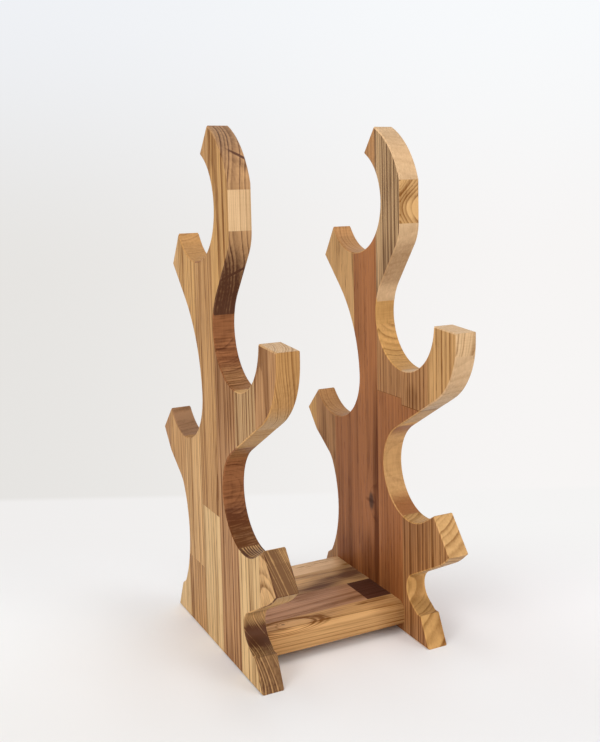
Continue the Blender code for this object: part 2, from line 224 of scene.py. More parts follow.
def shelf_oval(x, back, half_length, half_width, half_drop, amount, hollow=True):
    """An oval in the shelf's top and front arris: only its outline, bold at its ends, or all of it."""
    mark = shelf_mark(x, back, half_length, half_width, amount)
    return {**mark, "size": (half_length, half_width, half_drop), "hollow": hollow}


# How each stave was cut and what it shows, column by column from the front. The first name is the wood of
# the broad face; sawn and end are the woods of sawn edges and ends. ring is a year's growth in metres. lines
# and sawn_lines say how boldly its lines show, and fine how much closer they lie on sawn edges. sawn_base is
# the depth of tone there, and sawn_pith and sawn_slant give other rings there. lean and slant tip the grain,
# in radians. wander is how far it strays, in metres. bands, fibre and saw scale the tones of the years, of
# the fibres and of the saw marks
LOOKS = {
    "left_stave_1_1": flat(
        FAWN, sawn=TAN, end=CREAM, ring=0.0036, fine=2.0, lines=0.80,
        pith=(0.045, 0.010), wander=0.0015, saw=0.1,
    ),
    "left_stave_1_2": flat(
        HONEY, sawn=DEEP_LATE_WOOD, end=HONEY, ring=0.0036, fine=2.0, lines=0.80, sawn_lines=1.3,
        sawn_base=-0.26, pith=(0.060, 0.010), lean=-0.45, slant=-0.25, wander=0.0012, saw=0.3,
        sawn_streaks=(
            streak(-0.017, 0.118, 0.080, 0.030, 0.55, turn=-0.40, side=-0.069, through=0.0085),
            streak(-0.017, 0.100, 0.080, 0.020, -0.10, side=-0.085, through=0.0100),
        ),
    ),
    "left_stave_2_1": quarter(SAND, sawn=HONEY, ring=0.0042, fine=2.0, lines=1.10, sawn_lines=0.5),
    "left_stave_2_2": quarter(
        BLOND, sawn=DEEP_LATE_WOOD, end=DEEP_LATE_WOOD, ring=0.0038, fine=2.0, lines=0.85, sawn_lines=0.75,
        sawn_base=0.15, pith=(-0.026, 0.050), sawn_pith=(0.060, 0.004), sawn_slant=-0.50,
        wander=0.0012, saw=0.1,
        streaks=(
            streak(0.031, 0.050, 0.010, 0.120, -0.40),
            streak(0.0165, 0.050, 0.0012, 0.090, 0.50, side=-0.090, through=0.004),
            streak(0.006, 0.060, 0.0010, 0.090, 0.40, side=-0.090, through=0.004),
        ),
        sawn_streaks=(
            streak(0.030, 0.060, 0.060, 0.024, 0.75),
            streak(0.030, 0.036, 0.060, 0.013, -0.07),
            streak(0.020, 0.112, 0.080, 0.018, -0.22),
            *(streak(0.020, 0.112, 0.080, 0.018, 0.85, side=side, through=0.0009) for side in SEAT_STRIPES),
        ),
    ),
    "left_stave_3_1": flat(
        AMBER, sawn=DUSK, ring=0.0050, fine=1.6, lines=0.85, sawn_lines=0.8,
        pith=(0.045, 0.012), taper=0.012, bands=1.3, saw=0.1,
        sawn_streaks=(
            streak(0.060, 0.4315, 0.030, 0.0018, 0.85, turn=0.52, side=-0.072, through=SHORT_REACH),
            streak(0.055, 0.3368, 0.030, 0.0015, 0.90, turn=-0.50, side=-PANEL_MIDDLE, through=SHORT_REACH),
            streak(0.060, 0.4230, 0.030, 0.0060, 0.30, turn=0.52, side=-0.070, through=SHORT_REACH),
            # Painted shade: this wide dark streak stands for the shade on the lower part of the hook's sawn
            # front
            streak(0.060, 0.292, 0.090, 0.080, 0.72, turn=0.42, side=-PANEL_MIDDLE),
            streak(0.060, 0.450, 0.060, 0.050, 0.20),
        ),
    ),
    "left_stave_3_2": quarter(
        FAWN, sawn=RUSSET, end=NUT, ring=0.0044, fine=2.0, lines=0.75, sawn_lines=0.8,
        sawn_base=0.06, saw=1.5,
        streaks=(
            streak(0.043, 0.040, 0.0035, 0.085, 0.40),
            streak(0.062, -0.010, 0.024, 0.055, 0.25),
            streak(0.062, 0.245, 0.040, 0.080, 0.32),
            streak(0.054, 0.100, 0.0012, 0.140, -0.30),
        ),
        sawn_streaks=(streak(0.058, 0.112, 0.030, 0.044, 0.85), streak(0.078, 0.190, 0.016, 0.026, -0.60)),
    ),
    "left_stave_4_1": flat(TAN, sawn=ROSE, ring=0.0030, lines=0.6),
    "left_stave_4_2": quarter(
        TAN, sawn=RUSSET, end=NUT, ring=0.0048, fine=2.0, lines=0.65, sawn_lines=0.7, saw=1.3,
        swirls=(streak(0.0862, 0.150, 0.0085, 0.056, 0.60),),
        streaks=(
            streak(0.0855, 0.152, 0.0042, 0.048, 0.40),
            streak(0.0875, 0.132, 0.0048, 0.026, 0.40),
            streak(0.0846, 0.183, 0.0012, 0.008, 0.45),
            streak(0.1020, 0.225, 0.0120, 0.060, -0.20),
            streak(0.1190, 0.190, 0.0040, 0.090, 0.22),
        ),
    ),
    "left_stave_4_3": quarter(
        BLOND, sawn=HONEY, ring=0.0040, lines=0.55,
        streaks=(streak(0.0865, 0.060, 0.0035, 0.110, -0.45), streak(0.0955, 0.060, 0.0025, 0.090, 0.25)),
    ),
    "left_stave_5_1": quarter(AMBER, sawn=TAN, ring=0.0048, fine=2.0, lines=0.60, sawn_lines=0.7),
    "left_stave_5_2": quarter(
        HONEY, sawn=TAN, ring=0.0052, lines=0.65,
        streaks=(streak(0.1290, 0.130, 0.0030, 0.090, -0.35), streak(0.1520, 0.150, 0.0040, 0.080, 0.22)),
    ),
    "left_stave_5_3": quarter(
        TAN, sawn=TAN, ring=0.0042, lines=0.90,
        streaks=(streak(0.1570, 0.030, 0.0016, 0.050, 0.75), streak(0.1320, 0.030, 0.0040, 0.060, -0.25)),
    ),
    "left_stave_6_1": quarter(HONEY, sawn=TAN, ring=0.0036, lines=0.35),
    "left_stave_6_2": quarter(
        TAN, sawn=DRAB, ring=0.0046, lines=0.50, sawn_lines=0.6, saw=0.4,
        streaks=(streak(0.1960, 0.180, 0.0055, 0.040, -0.40),),
    ),
    "left_stave_6_3": quarter(BLOND, sawn=HONEY, ring=0.0044, lines=0.30),
    "left_stave_7_1": flat(FAWN, sawn=DRAB, ring=0.0040, lines=0.50, sawn_lines=0.6, saw=0.4),
    "right_stave_1_1": quarter(
        HONEY, sawn=PEACH, end=CREAM, ring=0.0042, lines=0.65, sawn_lines=0.25, bands=0.5, saw=0.1
    ),
    "right_stave_1_2": quarter(
        FAWN, sawn=HONEY, ring=0.0040, lines=1.1, sawn_lines=0.6, bands=0.6,
        pith=(-0.018, 0.050), wander=0.0012, saw=0.1,
    ),
    "right_stave_2_1": quarter(
        FAWN, sawn=PEACH, ring=0.0040, lines=1.0, sawn_lines=0.3, bands=0.8,
        streaks=(streak(0.0210, 0.2121, 0.050, 0.0007, 1.0), streak(0.0240, 0.222, 0.014, 0.016, 0.30)),
    ),
    "right_stave_2_2": quarter(COPPER, sawn=HONEY, ring=0.0030, lines=0.7, sawn_lines=0.4),
    "right_stave_2_3": quarter(
        NUT, sawn=AMBER, ring=0.0042, lines=0.95, sawn_lines=0.6, bands=0.6,
        pith=(-0.022, 0.050), wander=0.0012, saw=0.1,
        streaks=(streak(0.0330, 0.060, 0.009, 0.120, -0.15),),
        sawn_streaks=(
            streak(0.0200, 0.045, 0.030, 0.022, 0.18),
            streak(0.0000, 0.010, 0.040, 0.045, 0.35, side=0.0905, through=0.0080),
        ),
    ),
    "right_stave_3_1": quarter(
        BUFF, sawn=PEACH, ring=0.0042, lines=1.20, sawn_lines=0.08, bands=0.4, saw=0.0, wander=0.0015,
        # The second streak, darker low on the hook's inner face, is painted shade
        streaks=(streak(0.0790, 0.380, 0.0070, 0.100, -0.60), streak(0.0600, 0.325, 0.0300, 0.050, 0.35)),
    ),
    "right_stave_3_2": quarter(
        FAWN, sawn=AMBER, ring=0.0030, lines=0.5, bands=0.4,
        streaks=(streak(0.0610, 0.2181, 0.050, 0.0005, 0.6),),
    ),
    "right_stave_3_3": quarter(
        COPPER, sawn=FLAX, end=COPPER, ring=0.0036, lines=0.25, sawn_lines=0.5, bands=0.5, fibre=0.6,
        # The second streak, darker towards the bottom near the shelf, is painted shade
        streaks=(streak(0.0800, 0.110, 0.0028, 0.200, -0.22), streak(0.0600, 0.020, 0.030, 0.110, 0.32)),
    ),
    "right_stave_4_1": quarter(FAWN, sawn=PEACH, ring=0.0034, lines=0.5),
    "right_stave_4_2": quarter(
        COPPER, sawn=AMBER, end=NUT, ring=0.0062, lines=0.20, bands=0.5, fibre=0.6,
        streaks=(
            streak(0.0860, 0.120, 0.0090, 0.130, 0.70),
            streak(0.1010, 0.040, 0.0200, 0.050, 0.45),
            streak(0.0870, 0.050, 0.0060, 0.070, 0.40),
            streak(0.0980, 0.108, 0.0110, 0.0030, 0.60),
            streak(0.1110, 0.170, 0.0110, 0.090, -0.60),
            streak(0.1040, 0.420, 0.0300, 0.170, -0.35),
        ),
        knots=(streak(0.0960, 0.108, 0.0170, 0.0340, 0.85),),
    ),
    "right_stave_5_1": flat(
        HONEY, sawn=FAWN, ring=0.0034, lines=0.45,
        streaks=(streak(0.150, 0.300, 0.0500, 0.070, -0.3),),
    ),
    "right_stave_5_2": quarter(
        COPPER, sawn=NUT, ring=0.0066, lines=0.20, bands=0.5, fibre=0.6,
        streaks=(
            streak(0.1360, 0.110, 0.0050, 0.130, 0.30),
            streak(0.1475, 0.110, 0.0022, 0.120, -0.35),
            streak(0.1400, 0.000, 0.0400, 0.085, 0.45),
            streak(0.1400, 0.170, 0.0400, 0.080, -0.20),
        ),
    ),
    "right_stave_6_1": quarter(HONEY, sawn=TAN, ring=0.0034, lines=0.40),
    "right_stave_6_2": flat(FAWN, sawn=FAWN, ring=0.0036, lines=0.35),
    "right_stave_6_3": quarter(FAWN, sawn=TAN, ring=0.0034, lines=0.40),
    "right_stave_7_1": flat(AMBER, sawn=TAN, ring=0.0030, lines=0.50),
    "shelf_stave_1_1": flat(
        FLAX, sawn=FLAX, ring=0.0021, lines=0.85, sawn_lines=0.75,
        pith=(0.040, -0.022), taper=0.020, wander=0.0030,
        streaks=(
            shelf_oval(-0.0365, 0.0500, 0.0190, 0.0085, 0.0026, 0.30),
            shelf_oval(-0.0440, 0.0490, 0.0300, 0.0115, 0.0036, 0.90),
            shelf_oval(-0.0455, 0.0480, 0.0390, 0.0135, 0.0044, 0.70),
            shelf_oval(-0.0480, 0.0470, 0.0480, 0.0155, 0.0052, 0.45),
            shelf_mark(-0.0105, 0.0520, 0.0075, 0.0090, 0.30),
            shelf_oval(-0.0340, 0.0490, 0.0220, 0.0100, 0.0060, -0.45, hollow=False),
            shelf_oval(0.0240, 0.0480, 0.0300, 0.0130, 0.0100, -0.30, hollow=False),
            shelf_oval(-0.0100, FRONT_EDGE, 0.0900, 0.0060, 0.0060, -0.35, hollow=False),
            shelf_mark(0.0350, 0.0570, 0.0090, 0.0035, 0.45),
            shelf_mark(0.0520, 0.0575, 0.0220, 0.0050, 0.45),
            shelf_mark(0.0700, 0.0400, 0.0360, 0.0080, 0.35),
        ),
        knots=(shelf_mark(-0.0458, 0.0532, 0.0075, 0.0050, 0.65),),
    ),
    "shelf_stave_2_1": quarter(WALNUT, sawn=WALNUT, ring=0.0034, lines=0.5),
    "shelf_stave_2_2": flat(
        ROSY, sawn=ROSE, ring=0.0048, lines=0.45, pith=(0.030, 0.015), fibre=0.7,
        streaks=(
            shelf_mark(-0.0500, 0.0900, 0.0500, 0.0160, -0.35),
            shelf_mark(0.0300, 0.0760, 0.0500, 0.0120, 0.15),
        ),
    ),
    "shelf_stave_3_1": flat(
        SHADED_HONEY, sawn=UMBER, ring=0.0060, lines=0.35, pith=(0.030, -0.015), fibre=0.6,
        streaks=(
            # Painted shade: the first three marks, a dark band that deepens towards the right end, mix
            # towards this stave's browner dark tone
            shelf_mark(-0.0100, 0.1055, 0.0700, 0.0100, 0.50),
            shelf_mark(0.0360, 0.1160, 0.0440, 0.0130, 0.40, turn=0.30),
            shelf_mark(0.0680, 0.1200, 0.0260, 0.0280, 0.50),
            shelf_mark(-0.0200, 0.1280, 0.0500, 0.0100, -0.45),
            shelf_mark(0.0280, 0.1120, 0.0560, 0.0140, 0.24),
        ),
    ),
    "shelf_stave_4_1": flat(
        IVORY, sawn=TAN, ring=0.0070, lines=0.25, pith=(0.030, 0.015), fibre=0.6,
        streaks=(
            # Painted light and shade: the pale tone and the pale first mark stand partly for light falling on
            # the stave from behind, over pale sapwood; the two dark marks towards the right end are painted
            # shade near the right panel
            shelf_mark(0.0200, 0.1500, 0.0700, 0.0240, -0.45),
            shelf_mark(0.0470, 0.1430, 0.0320, 0.0140, 0.36),
            shelf_mark(0.0760, 0.1450, 0.0200, 0.0240, 0.70),
        ),
    ),
}

# Slivers of the next stave left on a front: the wood, and the lowest and highest place they show; on the
# stave's mesh their wood is the second material
SLIVER_SLOT = 1
SLIVERS = {
    "left_stave_3_1": (
        flat(CREAM, ring=0.0016, lines=0.50, taper=0.004, wander=0.0012, saw=0.1),
        0.3730,
        0.4058,
    ),
    "right_stave_3_1": (
        flat(
            HONEY, ring=0.0028, lines=0.75, pith=(0.020, 0.0), taper=0.10, wander=0.010, saw=0.1,
            swirls=(streak(0.0410, 0.3880, 0.0300, 0.0260, -1.2, side=0.088),),
            streaks=(
                streak(0.0410, 0.3860, 0.0070, 0.0120, -0.70, turn=0.1, side=0.0875, through=SHORT_REACH),
                streak(0.0410, 0.3920, 0.0045, 0.0200, 0.30, turn=0.1, side=0.0740, through=SHORT_REACH),
            ),
        ),
        0.3730,
        0.4120,
    ),
    "right_stave_1_1": (
        flat(CREAM, ring=0.0030, lines=0.6, pith=(0.030, 0.0), taper=0.10, wander=0.006),
        0.2636,
        0.2900,
    ),
}

# The bare wood of the dowels, and how far their pith lies beside them in metres
DOWEL_LOOK = {"tones": BEECH, "sawn": BEECH, "end": BEECH, "taper": 0.004, "ring": 0.0016, "lines": 0.4}
DOWEL_PITH = 0.02

# Each stave's own place in the noise, from the letters of its name
SEED_COUNT = 97
SEED_SHARE = 7.0
SEED_SCATTER = (0.37, 0.23, 0.71)

# Noise runs from 0 to 1; less its middle and then doubled, it sways fully both ways
NOISE_MIDDLE = 0.5
BOTH_WAYS = 2.0

# Growth rings: sizes in metres, lengths as times the size along the grain, years in rings
ACROSS_GRAIN = (1.0, 1.0, 0.0)
WANDER_SIZE = 0.055
WANDER_LENGTH = 7.0
WANDER = 0.0030
RIPPLE_SIZE = 0.009
RIPPLE_LENGTH = 14.0
RIPPLE = 0.0005
DRIFT_YEARS = 3.2
DRIFT = 1.5
LEAST_LINE = 0.25
YEAR_PROFILE = ((0.0, 0.55), (0.10, 1.0), (0.28, 0.62), (0.52, 0.16), (0.88, 0.0), (1.0, 0.30))

# Bands of years, clouds, fibres and saw marks
BAND_YEARS = 5.5
BAND_DETAIL = 2.0
BAND_AMOUNT = 0.50
CLOUD_SIZE = 0.020
CLOUD_LENGTH = 5.0
CLOUD_DETAIL = 2.0
CLOUD_AMOUNT = 0.30
FIBRE_SIZE = 0.0019
FIBRE_LENGTH = 34.0
FIBRE_DETAIL = 3.0
FIBRE_AMOUNT = 1.60
SAWN_FIBRE_AMOUNT = 0.50
SAW_SIZE = 0.0022
SAW_SHARE = (0.08, 1.0, 1.0)
SAW_DETAIL = 2.0
SAW_AMOUNT = 1.30
SAW_SHOWN = 0.3
SAW_BEND = 0.6
BASE_DEPTH = 0.16

# Pores, denser along the year lines
PORE_SIZE = 0.0010
PORE_LENGTH = 16.0
PORE_EDGES = (0.57, 0.67)
PORE_LINES = (0.0, 0.6)
PORES_BETWEEN_LINES = 0.15
SAWN_PORES = 0.25
PORE_DIP = 1.5

# Marks: where they begin and are full, as shares of their size
MARK_EDGES = (1.0, 0.3)
OVAL_RISE = (0.80, 0.90)
OVAL_FALL = (0.90, 1.0)
SWELL_EDGES = (1.0, 0.0)
KNOT_SWELL = 3.0
CORE_EDGES = (0.34, 0.14)

# How squarely a surface faces its axis where it counts as a broad face, an end or an arris made paler by
# sanding wear and a painted highlight
FACE_EDGES = (0.80, 0.96)
END_EDGES = (0.55, 0.85)
WEAR_AND_HIGHLIGHT_RISE = (0.10, 0.45)
WEAR_AND_HIGHLIGHT_FALL = (0.80, 0.97)
# Arrises are made paler partly as sanding wear and partly as a painted highlight
ARRIS_WEAR_AND_HIGHLIGHT = 0.06

# The oiled surface; the relief's height is in metres
END_GRAIN_SHADE = 0.78
SPECULAR = 0.11
BUMP_HEIGHT = 0.00025
BUMP_STRENGTH = 0.45
LINE_ROUGHNESS = (0.40, 0.56)

# The Mix node's sockets for its share and two colours, and for the mixed colour
MIX_INPUTS = (0, 6, 7)
MIX_RESULT = 2


class Shader:
    """The nodes of one material or world, added and wired as they are asked for."""

    def __init__(self, owner):
        owner.use_nodes = True
        self.tree = owner.node_tree
        self.tree.nodes.clear()

    def add(self, kind, inputs=None, **settings):
        """A node with its settings made, and each input set to a value or fed by another node."""
        node = self.tree.nodes.new(kind)
        for name, value in settings.items():
            setattr(node, name, value)
        for name, value in (inputs or {}).items():
            self.feed(node.inputs[name], value)
        return node

    def feed(self, socket, value):
        """Link a socket to another node's output, or set its value."""
        if isinstance(value, bpy.types.NodeSocket):
            self.tree.links.new(value, socket)
        else:
            socket.default_value = value

    def math(self, operation, first, second=0.0, clamp=False):
        """One sum on plain numbers."""
        node = self.add("ShaderNodeMath", {0: first, 1: second}, operation=operation, use_clamp=clamp)
        return node.outputs[0]

    def vector(self, operation, first, second=(0.0, 0.0, 0.0)):
        """One sum on vectors, whose result is a vector."""
        node = self.add("ShaderNodeVectorMath", {0: first, 1: second}, operation=operation)
        return node.outputs["Vector"]

    def length(self, vector):
        """How long a vector is."""
        node = self.add("ShaderNodeVectorMath", {0: vector}, operation="LENGTH")
        return node.outputs["Value"]

    def dot(self, first, second):
        """How far one vector reaches along another."""
        node = self.add("ShaderNodeVectorMath", {0: first, 1: second}, operation="DOT_PRODUCT")
        return node.outputs["Value"]

    def ramp(self, value, start, end, low=0.0, high=1.0):
        """A smooth step from low to high as the value goes from start to end."""
        node = self.add(
            "ShaderNodeMapRange",
            {"Value": value, "From Min": start, "From Max": end, "To Min": low, "To Max": high},
            interpolation_type="SMOOTHSTEP",
        )
        return node.outputs["Result"]

    def mix(self, share, first, second):
        """Two colours mixed."""
        node = self.add("ShaderNodeMix", data_type="RGBA")
        for index, value in zip(MIX_INPUTS, (share, first, second)):
            self.feed(node.inputs[index], value)
        return node.outputs[MIX_RESULT]

    def shade(self, color, factor):
        """A colour made darker or paler by a factor."""
        node = self.add("ShaderNodeVectorMath", {0: color, "Scale": factor}, operation="SCALE")
        return node.outputs["Vector"]

    def noise(self, vector, size, stretch=1.0, detail=1.0):
        """Noise whose grains are so large across the wood, and stretched so much along it."""
        drawn_out = self.vector("MULTIPLY", vector, (1.0, 1.0, 1.0 / stretch))
        return self.add("ShaderNodeTexNoise", {"Vector": drawn_out, "Scale": 1.0 / size, "Detail": detail})

    def row_noise(self, number, size, detail=1.0):
        """Noise along a plain number."""
        node = self.add(
            "ShaderNodeTexNoise",
            {"W": number, "Scale": 1.0 / size, "Detail": detail},
            noise_dimensions="1D",
        )
        return node.outputs[0]

    def centred(self, value, amount):
        """Noise from 0 to 1 turned into a change either way, of that size."""
        return self.math("MULTIPLY", self.math("SUBTRACT", value, NOISE_MIDDLE), amount)

    def sway(self, vector, size, stretch, amount):
        """A push from noise of up to that amount, each way along every axis."""
        noise = self.noise(vector, size, stretch).outputs["Color"]
        middle = (NOISE_MIDDLE, NOISE_MIDDLE, NOISE_MIDDLE)
        return self.shade(self.vector("SUBTRACT", noise, middle), BOTH_WAYS * amount)

    def profile(self, value, stops):
        """A grey value read off a curve through the stops."""
        node = self.add("ShaderNodeValToRGB", {"Fac": value})
        elements = node.color_ramp.elements
        while len(elements) < len(stops):
            elements.new(1.0)
        for element, (place, grey) in zip(elements, stops):
            element.position = place
            element.color = (grey, grey, grey, 1.0)
        return node.outputs["Color"]

    def seen_from(self, place, origin, turn, size=(1.0, 1.0, 1.0)):
        """Places as measured from an origin, in a frame that is turned and scaled there."""
        node = self.add(
            "ShaderNodeMapping",
            {"Vector": place, "Location": origin, "Rotation": turn, "Scale": size},
            vector_type="TEXTURE",
        )
        return node.outputs[0]


def from_mark(shader, place, mark):
    """How far each point lies from a mark's middle, where 1 is the mark's edge."""
    return shader.length(shader.seen_from(place, mark["at"], mark["turn"], mark["size"]))


def streaked(shader, place, depth, marks):
    """The grain's depth of tone with streaks laid over it."""
    for mark in marks:
        away = from_mark(shader, place, mark)
        if mark.get("hollow"):
            rise = shader.ramp(away, *OVAL_RISE, 0.0, mark["amount"])
            cover = shader.math("MULTIPLY", rise, shader.ramp(away, *OVAL_FALL, 1.0, 0.0))
        else:
            cover = shader.ramp(away, *MARK_EDGES, 0.0, mark["amount"])
        depth = shader.math("ADD", depth, cover)
    return depth


def swollen(shader, place, look):
    """How many years the rings swell by about swirls and knots, and how much of a knot's core shows."""
    swell = 0.0
    core = 0.0
    knots = look.get("knots", ())
    for mark in (*look.get("swirls", ()), *knots):
        away = from_mark(shader, place, mark)
        bulge = shader.ramp(away, *SWELL_EDGES, 0.0, KNOT_SWELL * mark["amount"])
        swell = shader.math("ADD", bulge, swell)
        if mark in knots:
            core = shader.math("ADD", shader.ramp(away, *CORE_EDGES, 0.0, mark["amount"]), core)
    return (swell, core)


def growth_rings(shader, grain, scattered, look, swell):
    """How many years out from the pith each point grew."""
    wander = shader.sway(scattered, WANDER_SIZE, WANDER_LENGTH, look.get("wander", WANDER))
    ripple = shader.sway(scattered, RIPPLE_SIZE, RIPPLE_LENGTH, RIPPLE)
    bent = shader.vector("ADD", shader.vector("ADD", grain, wander), ripple)
    radius = shader.length(shader.vector("MULTIPLY", bent, ACROSS_GRAIN))
    height = shader.dot(grain, (0.0, 0.0, look["taper"]))
    years = shader.math("DIVIDE", shader.math("ADD", radius, height), look["ring"])
    years = shader.math("ADD", years, swell)
    drift = shader.centred(shader.row_noise(years, DRIFT_YEARS), BOTH_WAYS * DRIFT)
    return shader.math("ADD", years, drift)


def year_line(shader, years):
    """The line at the end of each year's growth, bolder in some years than in others."""
    year = shader.math("FLOOR", years)
    own = shader.add("ShaderNodeTexWhiteNoise", {"W": year}, noise_dimensions="1D").outputs["Value"]
    weight = shader.ramp(own, 0.0, 1.0, LEAST_LINE, 1.0)
    line = shader.profile(shader.math("FRACT", years), YEAR_PROFILE)
    return shader.math("MULTIPLY", line, weight)


def sawn_year_line(shader, place, scattered, look, swell, years):
    """The year lines as sawn edges show them: closer, and of rings cut at another slant where it is given."""
    if "sawn_grain" in look:
        sawn_grain = shader.seen_from(place, *look["sawn_grain"])
        years = growth_rings(shader, sawn_grain, scattered, look, swell)
    return year_line(shader, shader.math("MULTIPLY", years, look.get("fine", 1.0)))


def ground_tone(shader, scattered, look, years):
    """The depth of tone that changes slowly, from band to band of years and in clouds."""
    bands = shader.row_noise(years, BAND_YEARS, BAND_DETAIL)
    bands = shader.centred(bands, BAND_AMOUNT * look.get("bands", 1.0))
    clouds = shader.noise(scattered, CLOUD_SIZE, CLOUD_LENGTH, CLOUD_DETAIL).outputs[0]
    return shader.math("ADD", bands, shader.centred(clouds, CLOUD_AMOUNT))


def face_depth(shader, ground, fibre, line, look):
    """The depth of tone of the broad faces."""
    fibres = shader.centred(fibre, FIBRE_AMOUNT * look.get("fibre", 1.0))
    ground = shader.math("ADD", shader.math("ADD", ground, fibres), BASE_DEPTH)
    return shader.math("ADD", ground, shader.math("MULTIPLY", line, look["lines"]), clamp=True)


def saw_marks(shader, place, look):
    """The fine marks that a saw leaves on an edge, drawn out through the board."""
    saw = shader.add(
        "ShaderNodeTexNoise",
        {
            "Vector": shader.vector("MULTIPLY", place, SAW_SHARE),
            "Scale": 1.0 / SAW_SIZE,
            "Detail": SAW_DETAIL,
            "Distortion": SAW_BEND,
        },
    )
    return shader.centred(saw.outputs[0], SAW_AMOUNT * look.get("saw", SAW_SHOWN))


def sawn_depth(shader, place, ground, fibre, line, look):
    """The depth of tone of sawn edges and ends."""
    fibres = shader.centred(fibre, SAWN_FIBRE_AMOUNT)
    ground = shader.math("ADD", ground, shader.math("ADD", fibres, saw_marks(shader, place, look)))
    ground = streaked(shader, place, ground, look.get("sawn_streaks", ()))
    ground = shader.math("ADD", ground, look.get("sawn_base", BASE_DEPTH))
    line = shader.math("MULTIPLY", line, look["lines"] * look.get("sawn_lines", 1.0))
    return shader.math("ADD", ground, line, clamp=True)


def open_pores(shader, scattered, line, is_face):
    """Open pores, most of them along the year lines, and fewer on sawn edges."""
    pore = shader.noise(scattered, PORE_SIZE, PORE_LENGTH).outputs[0]
    by_line = shader.ramp(line, *PORE_LINES, PORES_BETWEEN_LINES, 1.0)
    pores = shader.math("MULTIPLY", shader.ramp(pore, *PORE_EDGES), by_line)
    return shader.math("MULTIPLY", pores, shader.ramp(is_face, 0.0, 1.0, SAWN_PORES, 1.0))


def worn_and_highlit(shader, color, facing):
    """A colour made a little paler on the arrises, where the rounding turns from face to edge: partly sanding
    wear, partly a painted highlight.
    """
    rise = shader.ramp(facing, *WEAR_AND_HIGHLIGHT_RISE)
    fall = shader.ramp(facing, *WEAR_AND_HIGHLIGHT_FALL, 1.0, 0.0)
    share = shader.math("MULTIPLY", shader.math("MULTIPLY", rise, fall), ARRIS_WEAR_AND_HIGHLIGHT)
    return shader.shade(color, shader.math("ADD", share, 1.0))


def oiled_surface(shader, color, depth, relief):
    """The dull shine of oil over a colour, duller where the tone is deep, with the wood's relief."""
    bump = shader.add(
        "ShaderNodeBump", {"Strength": BUMP_STRENGTH, "Distance": BUMP_HEIGHT, "Height": relief}
    )
    surface = shader.add(
        "ShaderNodeBsdfPrincipled",
        {
            "Base Color": color,
            "Roughness": shader.ramp(depth, 0.0, 1.0, *LINE_ROUGHNESS),
            "Specular IOR Level": SPECULAR,
            "Normal": bump.outputs[0],
        },
    )
    shader.add("ShaderNodeOutputMaterial", {"Surface": surface.outputs[0]})


def oiled_wood(name, look, pith_place, turn, face_axis, grain_axis, seed):
    """Oiled hardwood with growth rings about a pith line, fibres, pores, streaks, and arrises paler from
    sanding wear and a painted highlight.
    """
    material = bpy.data.materials.new(name)
    shader = Shader(material)
    texture = shader.add("ShaderNodeTexCoord")
    place = texture.outputs["Object"]
    grain = shader.seen_from(place, pith_place, turn)
    scattered = shader.vector("ADD", grain, [seed * share for share in SEED_SCATTER])
    swell, core = swollen(shader, place, look)
    years = growth_rings(shader, grain, scattered, look, swell)
    line = year_line(shader, years)
    fine_line = sawn_year_line(shader, place, scattered, look, swell, years)
    fibre = shader.noise(scattered, FIBRE_SIZE, FIBRE_LENGTH, FIBRE_DETAIL).outputs[0]

    facing = shader.math("ABSOLUTE", shader.dot(texture.outputs["Normal"], face_axis))
    ending = shader.math("ABSOLUTE", shader.dot(texture.outputs["Normal"], grain_axis))
    is_face = shader.ramp(facing, *FACE_EDGES)
    pores = open_pores(shader, scattered, line, is_face)

    ground = ground_tone(shader, scattered, look, years)
    ground = streaked(shader, place, ground, look.get("streaks", ()))
    deep_face = face_depth(shader, ground, fibre, line, look)
    deep_sawn = sawn_depth(shader, place, ground, fibre, fine_line, look)
    face = shader.mix(deep_face, *look["tones"])
    sawn = shader.mix(deep_sawn, *look["sawn"])
    end = shader.shade(shader.mix(deep_sawn, *look["end"]), END_GRAIN_SHADE)
    sawn = shader.mix(shader.ramp(ending, *END_EDGES), sawn, end)
    color = shader.mix(is_face, sawn, face)
    color = shader.vector("MULTIPLY", color, shader.mix(pores, WHITE, PORE_TINT))
    # Paler arrises: partly sanding wear, partly a painted highlight
    color = worn_and_highlit(shader, color, facing)
    if look.get("knots"):
        color = shader.mix(core, color, KNOT_TONE)

    dips = shader.math("ADD", line, shader.math("MULTIPLY", pores, PORE_DIP))
    oiled_surface(shader, color, deep_face, shader.math("SUBTRACT", fibre, dips))
    return material


def middle_of(node):
    """The middle of a node's box."""
    low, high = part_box(node)
    return (low + high) / 2.0


def seed_of(node):
    """A number for a stave that scatters its noise."""
    return sum(index * ord(letter) for index, letter in enumerate(node)) % SEED_COUNT / SEED_SHARE


def outside_panel(middle, pith):
    """A pith's place, so far outside the panel and so far back from a stave's middle."""
    out, back = pith
    return (middle.x + copysign(1.0, middle.x) * out, middle.y + back, middle.z)


def stave_material(node, look, name):
    """The wood of one stave, with its pith placed from the stave itself."""
    middle = middle_of(node)
    seed = seed_of(node)
    lean = look.get("lean", 0.0)
    look = {"sawn": look["tones"], **look}
    look = {"end": look["sawn"], **look}
    if node.startswith("shelf"):
        under, back = look["pith"]
        place = (middle.x, middle.y + back, middle.z - under)
        return oiled_wood(name, look, place, (0.0, QUARTER_TURN, lean), ALONG_Z, ALONG_X, seed)
    if "sawn_pith" in look:
        look["sawn_grain"] = (outside_panel(middle, look["sawn_pith"]), (0.0, look["sawn_slant"], 0.0))
    turn = (lean, look.get("slant", 0.0), 0.0)
    return oiled_wood(name, look, outside_panel(middle, look["pith"]), turn, ALONG_X, ALONG_Z, seed)


def select_alone(piece):
    """Select one piece and make it the active one."""
    bpy.ops.object.select_all(action="DESELECT")
    piece.select_set(True)
    bpy.context.view_layer.objects.active = piece


